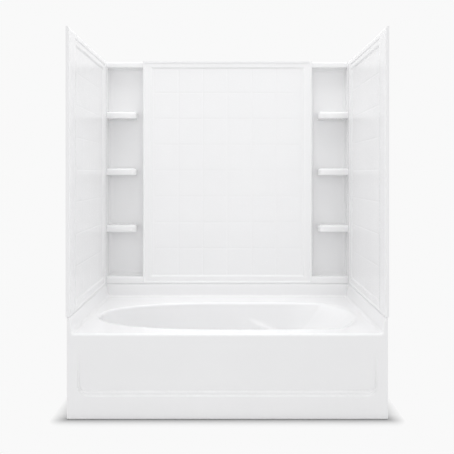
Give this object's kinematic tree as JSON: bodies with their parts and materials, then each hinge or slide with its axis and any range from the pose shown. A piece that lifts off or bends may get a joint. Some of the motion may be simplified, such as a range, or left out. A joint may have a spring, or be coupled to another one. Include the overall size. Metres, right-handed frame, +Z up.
{
  "type": "tub and shower unit",
  "caption": "Alcove bath with an integral apron and a moulded wall surround: framed tile-pattern walls, corner shelf niches, and a trip-lever waste and overflow.",
  "frame": {"origin": "floor point under the middle of the unit's overall box", "axes": "+X along the bath to the right as seen from the apron, +Y from the apron to the back wall, +Z up"},
  "size_m": [1.539, 0.914, 1.868],
  "materials": {
    "bath_moulding": "white high-gloss moulded resin",
    "wall_moulding": "white gloss moulded resin sheet",
    "seal_strip": "pale grey foam strip",
    "clip_steel": "zinc-plated steel",
    "base_timber": "raw softwood and plywood",
    "bright_trim": "polished chrome plate",
    "gasket_rubber": "black moulded rubber",
    "pipe_plastic": "white drain-pipe plastic",
    "link_brass": "drawn brass"
  },
  "bodies": {
    "unit": {"bath_shell": "bath_moulding", "back_wall": "wall_moulding", "left_end_wall": "wall_moulding", "right_end_wall": "wall_moulding", "back_ledge_seal": "seal_strip", "left_ledge_seal": "seal_strip", "right_ledge_seal": "seal_strip", "left_corner_seal": "seal_strip", "right_corner_seal": "seal_strip", "left_corner_clips": "clip_steel", "right_corner_clips": "clip_steel", "base_board": "base_timber", "base_bearers": "base_timber", "drain_strainer": "bright_trim", "strainer_grid": "bright_trim", "grid_screw": "bright_trim", "shoe_gasket": "gasket_rubber", "drain_shoe": "pipe_plastic", "shoe_tube": "pipe_plastic", "waste_tee": "pipe_plastic", "tail_piece": "pipe_plastic", "overflow_pipe": "pipe_plastic", "slip_nuts": "pipe_plastic", "overflow_elbow": "pipe_plastic", "overflow_gasket": "gasket_rubber", "overflow_plate": "bright_trim", "plate_screws": "bright_trim", "lever_bracket": "clip_steel", "lever_pin": "clip_steel"},
    "lever": {"trip_lever": "bright_trim"},
    "plunger": {"linkage_rod": "link_brass", "plunger": "link_brass"}
  },
  "joints": [
    {"name": "lever_swing", "type": "hinge", "parent": "unit", "child": "lever", "pos_m": [-0.67312, -0.092, 0.31655], "axis": [0, 1, 0], "range_deg": [-24, 0]},
    {"name": "plunger_lift", "type": "slide", "parent": "unit", "child": "plunger", "axis": [0, 0, 1], "range_m": [-0.0234, 0]}
  ],
  "couplings": [
    {"joint": "plunger_lift", "follows": "lever_swing", "m_per_rad": 0.0557}
  ]
}
